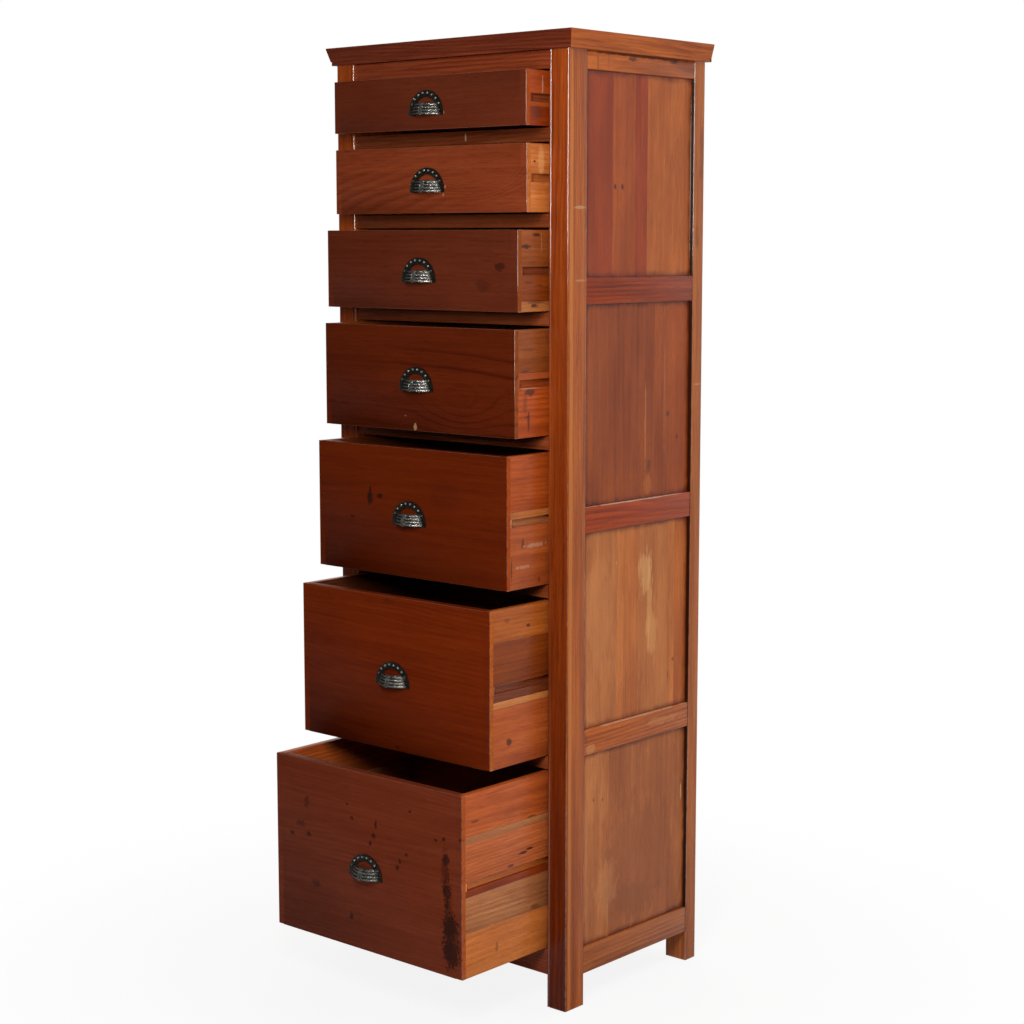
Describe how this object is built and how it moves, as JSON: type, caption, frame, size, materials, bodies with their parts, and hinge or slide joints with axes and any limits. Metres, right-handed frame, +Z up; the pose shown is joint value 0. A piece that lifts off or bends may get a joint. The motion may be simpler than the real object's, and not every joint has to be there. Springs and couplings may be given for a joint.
{
  "type": "tall chest of drawers",
  "caption": "Tall floor-standing wooden chest of graduated drawers with framed panel sides, square legs, a splayed cornice and cast half-moon pulls; each drawer slides on wooden runners.",
  "frame": {"origin": "on the floor, under the middle of the chest's box as it stands with its drawers drawn out", "axes": "+Z up, -Y towards the front that the drawers open to, +X towards the chest's right as seen from the front"},
  "size_m": [0.639, 0.682, 1.855],
  "materials": {
    "frame_wood": "varnished reddish-brown hardwood, worn at the edges",
    "panel_wood": "varnished edge-glued hardwood boards",
    "front_wood": "dark red-brown varnished hardwood with satin gloss",
    "lining_wood": "reclaimed hardwood boards of mixed colour, thinly varnished",
    "runner_wood": "bare waxed hardwood",
    "pull_iron": "dark cast iron, rubbed bright on the high spots",
    "screw_steel": "plain steel"
  },
  "bodies": {
    "carcass": {"front_left_post": "frame_wood", "rear_left_post": "frame_wood", "left_side_rails": "frame_wood", "left_side_panels": "panel_wood", "left_runners": "runner_wood", "front_right_post": "frame_wood", "rear_right_post": "frame_wood", "right_side_rails": "frame_wood", "right_side_panels": "panel_wood", "right_runners": "runner_wood", "front_top_rail": "frame_wood", "drawer_dividers": "frame_wood", "front_bottom_rail": "frame_wood", "back_rails": "frame_wood", "back_panels": "panel_wood", "cornice": "frame_wood", "top_panel": "panel_wood", "runner_screws": "screw_steel"},
    "drawer_1": {"drawer_1_front": "front_wood", "drawer_1_sides": "lining_wood", "drawer_1_back": "lining_wood", "drawer_1_bottom": "lining_wood", "drawer_1_pull": "pull_iron", "drawer_1_pull_screws": "screw_steel"},
    "drawer_2": {"drawer_2_front": "front_wood", "drawer_2_sides": "lining_wood", "drawer_2_back": "lining_wood", "drawer_2_bottom": "lining_wood", "drawer_2_pull": "pull_iron", "drawer_2_pull_screws": "screw_steel"},
    "drawer_3": {"drawer_3_front": "front_wood", "drawer_3_sides": "lining_wood", "drawer_3_back": "lining_wood", "drawer_3_bottom": "lining_wood", "drawer_3_pull": "pull_iron", "drawer_3_pull_screws": "screw_steel"},
    "drawer_4": {"drawer_4_front": "front_wood", "drawer_4_sides": "lining_wood", "drawer_4_back": "lining_wood", "drawer_4_bottom": "lining_wood", "drawer_4_pull": "pull_iron", "drawer_4_pull_screws": "screw_steel"},
    "drawer_5": {"drawer_5_front": "front_wood", "drawer_5_sides": "lining_wood", "drawer_5_back": "lining_wood", "drawer_5_bottom": "lining_wood", "drawer_5_pull": "pull_iron", "drawer_5_pull_screws": "screw_steel"},
    "drawer_6": {"drawer_6_front": "front_wood", "drawer_6_sides": "lining_wood", "drawer_6_back": "lining_wood", "drawer_6_bottom": "lining_wood", "drawer_6_pull": "pull_iron", "drawer_6_pull_screws": "screw_steel"},
    "drawer_7": {"drawer_7_front": "front_wood", "drawer_7_sides": "lining_wood", "drawer_7_back": "lining_wood", "drawer_7_bottom": "lining_wood", "drawer_7_pull": "pull_iron", "drawer_7_pull_screws": "screw_steel"}
  },
  "joints": [
    {"name": "drawer_1_slide", "type": "slide", "parent": "carcass", "child": "drawer_1", "axis": [0, -1, 0], "range_m": [-0.0615, 0.2185]},
    {"name": "drawer_2_slide", "type": "slide", "parent": "carcass", "child": "drawer_2", "axis": [0, -1, 0], "range_m": [-0.0595, 0.2205]},
    {"name": "drawer_3_slide", "type": "slide", "parent": "carcass", "child": "drawer_3", "axis": [0, -1, 0], "range_m": [-0.0845, 0.1955]},
    {"name": "drawer_4_slide", "type": "slide", "parent": "carcass", "child": "drawer_4", "axis": [0, -1, 0], "range_m": [-0.093, 0.187]},
    {"name": "drawer_5_slide", "type": "slide", "parent": "carcass", "child": "drawer_5", "axis": [0, -1, 0], "range_m": [-0.115, 0.165]},
    {"name": "drawer_6_slide", "type": "slide", "parent": "carcass", "child": "drawer_6", "axis": [0, -1, 0], "range_m": [-0.163, 0.117]},
    {"name": "drawer_7_slide", "type": "slide", "parent": "carcass", "child": "drawer_7", "axis": [0, -1, 0], "range_m": [-0.2405, 0.0395]}
  ]
}
